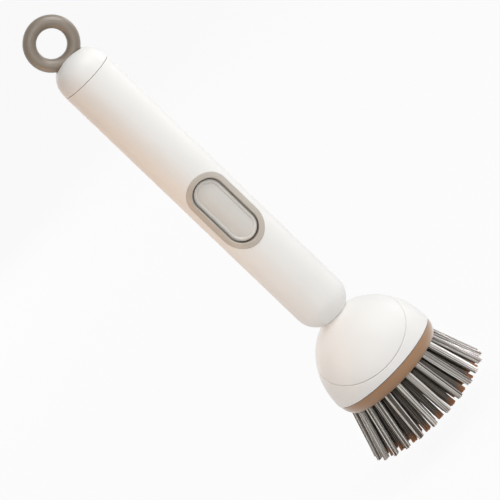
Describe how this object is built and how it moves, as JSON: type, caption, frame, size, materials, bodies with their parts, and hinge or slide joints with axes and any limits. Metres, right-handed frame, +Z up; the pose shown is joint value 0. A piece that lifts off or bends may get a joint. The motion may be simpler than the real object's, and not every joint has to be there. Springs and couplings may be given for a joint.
{
  "type": "dish wand",
  "caption": "Soap dispensing dish wand: round handle with thumb pump button, domed swivel head with flared bristle tufts, screw cap with hanging loop.",
  "frame": {"origin": "centre of the bristle tips, on the surface that the wand stands on head down", "axes": "+Z up along the handle towards the hanging loop, thumb button faces -Y"},
  "size_m": [0.0764, 0.0764, 0.2803],
  "materials": {
    "white_plastic": "satin moulded",
    "bezel_plastic": "satin moulded warm grey",
    "button_plastic": "satin moulded pale grey",
    "loop_silicone": "matte silicone, grey taupe",
    "tan_plastic": "satin moulded tan",
    "bristle_nylon": "grey nylon filament with a slight gloss",
    "seal_rubber": "matte",
    "clear_silicone": "translucent silicone",
    "pump_plastic": "moulded natural",
    "steel": "bright stainless",
    "brass": "cut wire"
  },
  "bodies": {
    "handle": {"handle_shell": "white_plastic", "neck_dome": "white_plastic", "neck_gasket": "seal_rubber", "neck_nut": "pump_plastic", "button_bezel": "bezel_plastic", "well_gasket": "seal_rubber", "pump_body": "pump_plastic", "inlet_seat": "pump_plastic", "outlet_valve": "clear_silicone", "outlet_barb": "pump_plastic", "soap_tube": "clear_silicone", "return_spring": "steel", "pivot_plate": "pump_plastic", "pivot_screws": "steel", "dome_gasket": "seal_rubber", "stop_pin": "steel", "pivot_o_ring": "seal_rubber", "friction_washer": "steel", "retaining_clip": "steel"},
    "button": {"thumb_button": "button_plastic", "pump_piston": "pump_plastic", "piston_o_ring": "seal_rubber"},
    "valve_ball": {"inlet_ball": "steel"},
    "cap_seal": {"cap_o_ring": "seal_rubber"},
    "cap": {"end_cap": "white_plastic", "cap_plug": "white_plastic", "hang_loop": "loop_silicone"},
    "head": {"head_shell": "white_plastic"},
    "brush": {"brush_plate": "tan_plastic", "outer_tufts": "bristle_nylon", "second_tufts": "bristle_nylon", "third_tufts": "bristle_nylon", "fourth_tufts": "bristle_nylon", "inner_tufts": "bristle_nylon", "tuft_anchors": "brass", "plate_gasket": "seal_rubber", "soap_nozzle": "clear_silicone"}
  },
  "joints": [
    {"name": "button_press", "type": "slide", "parent": "handle", "child": "button", "axis": [0, 1, 0], "range_m": [0, 0.0025], "stiffness_N_per_m": 900, "springref_m": -0.0022, "deforming": ["return_spring"]},
    {"name": "valve_ball_lift", "type": "slide", "parent": "handle", "child": "valve_ball", "axis": [0, 0, 1], "range_m": [0, 0.0015]},
    {"name": "cap_lift", "type": "slide", "parent": "handle", "child": "cap_seal", "axis": [0, 0, 1], "range_m": [0, 0.03]},
    {"name": "cap_turn", "type": "hinge", "parent": "cap_seal", "child": "cap", "pos_m": [0, 0, 0.2418], "axis": [0, 0, 1], "range_deg": [0, 1801]},
    {"name": "head_swivel", "type": "hinge", "parent": "handle", "child": "head", "pos_m": [0, -0.00763, 0.05083], "axis": [0, -0.4848, 0.8746], "range_deg": [0, 180]},
    {"name": "brush_release", "type": "slide", "parent": "head", "child": "brush", "axis": [0, 0, -1], "range_m": [0, 0.015]}
  ],
  "couplings": [
    {"joint": "cap_turn", "follows": "cap_lift", "rad_per_m": 1047.2}
  ]
}
